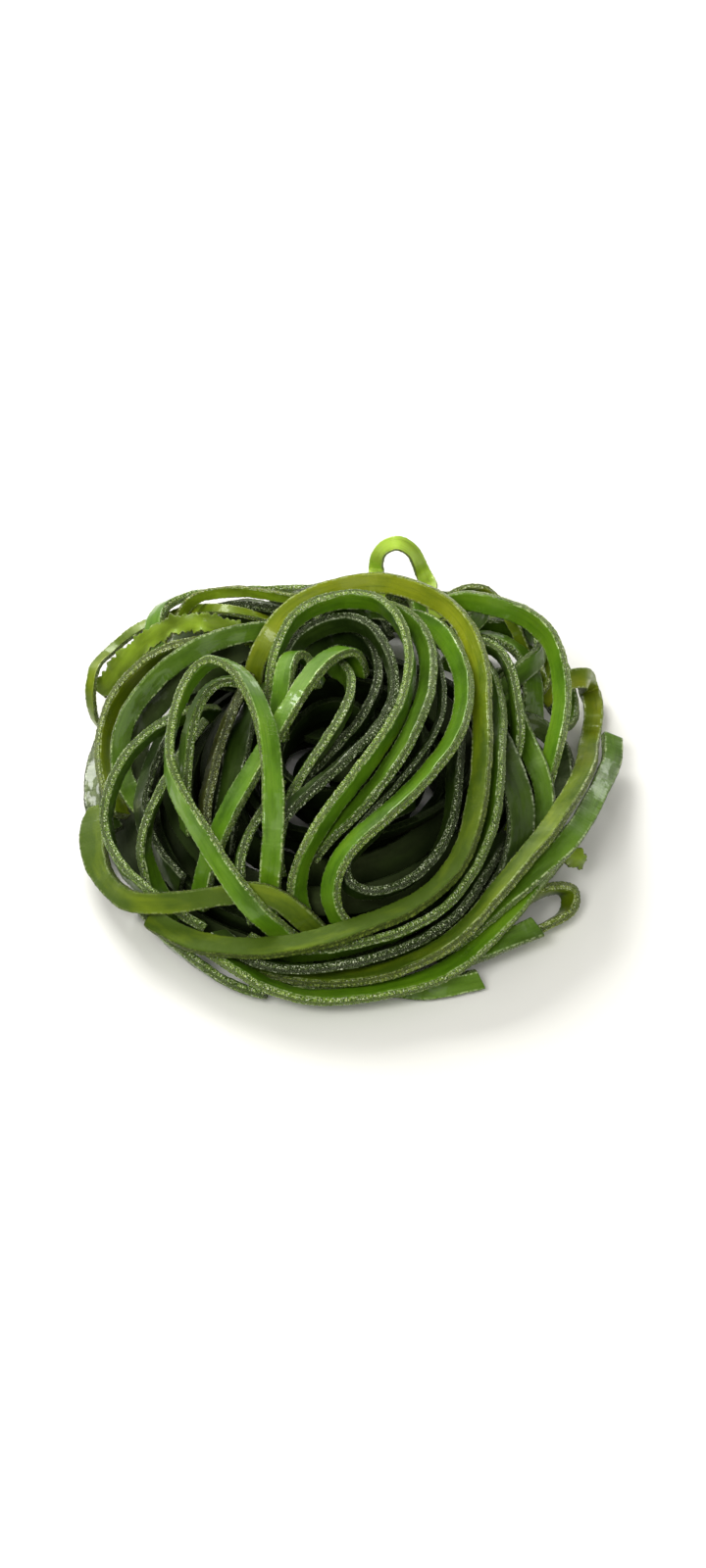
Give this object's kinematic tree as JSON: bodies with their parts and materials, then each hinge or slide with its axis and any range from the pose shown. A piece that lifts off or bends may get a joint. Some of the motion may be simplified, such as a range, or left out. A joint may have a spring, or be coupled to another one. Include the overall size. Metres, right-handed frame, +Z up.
{
  "type": "dried kelp",
  "caption": "Heap of soaked dried kelp cut into long flat strips, glossy green to olive, coiled and tangled into a low rounded nest that lies on its flat lowest strip.",
  "frame": {"origin": "middle of the heap's bounding box, at the surface it lies on", "axes": "+Z up, -Y towards the front of the heap as the picture shows it, +X to the right seen from there"},
  "size_m": [0.1944, 0.194, 0.0694],
  "materials": {
    "kelp_bright": "wet, smooth bright green skin with grainy paler cut edges",
    "kelp_green": "wet, smooth green skin with grainy paler cut edges",
    "kelp_olive": "wet, smooth olive skin with grainy sage cut edges",
    "kelp_dark": "wet, smooth blackish green skin with grainy paler cut edges",
    "kelp_brown": "wet, smooth olive brown skin with grainy cut edges",
    "kelp_pale": "wet, thin and yellowish green, slightly see-through"
  },
  "bodies": {
    "root": {"back_left_dark_strip": "kelp_dark", "back_left_margin": "kelp_pale", "back_left_thin_arc": "kelp_olive", "back_top_strip": "kelp_pale", "big_s_strip": "kelp_bright", "bright_s_strip": "kelp_bright", "center_brown_strip": "kelp_brown", "center_diagonal": "kelp_bright", "center_edge_strip": "kelp_green", "center_long_arc": "kelp_green", "center_pale_strip": "kelp_dark", "center_stub_loop": "kelp_bright", "crown_and_front_strip": "kelp_olive", "dark_inner_loop": "kelp_dark", "far_dark_bundle": "kelp_dark", "far_end_strip": "kelp_dark", "far_face_strip": "kelp_bright", "far_hook": "kelp_green", "far_long_arc": "kelp_green", "far_nested_arc": "kelp_olive", "far_right_loop": "kelp_green", "flat_band": "kelp_olive", "floor_cut_end": "kelp_green", "folded_inner_strip": "kelp_green", "folded_loop": "kelp_bright", "foot_strip": "kelp_dark", "front_cut_end": "kelp_green", "front_dark_strip": "kelp_dark", "front_edge_strip": "kelp_bright", "front_left_strip": "kelp_green", "glossy_s_strip": "kelp_green", "hole_loop": "kelp_dark", "left_dark_blade": "kelp_dark", "left_face_strip": "kelp_dark", "left_green_arc": "kelp_green", "left_inner_arc": "kelp_dark", "left_inner_strip": "kelp_green", "left_loop": "kelp_green", "left_low_arc": "kelp_dark", "left_outer_arc": "kelp_olive", "nest_coil_1": "kelp_dark", "nest_coil_2": "kelp_dark", "nest_coil_3": "kelp_dark", "nest_coil_4": "kelp_dark", "right_back_strip": "kelp_green", "right_bright_bend": "kelp_bright", "right_cross_strip": "kelp_dark", "right_dark_strip": "kelp_dark", "right_end_strip": "kelp_green", "right_face_strip": "kelp_dark", "right_inner_strip": "kelp_green", "right_long_strip": "kelp_green", "right_margin_scrap": "kelp_pale", "right_outer_loop": "kelp_olive", "right_small_arc": "kelp_green", "right_thin_arc": "kelp_olive", "slim_s_strip": "kelp_dark", "small_floor_loop": "kelp_olive", "standing_loop": "kelp_pale", "teardrop_loop": "kelp_dark"}
  },
  "joints": []
}
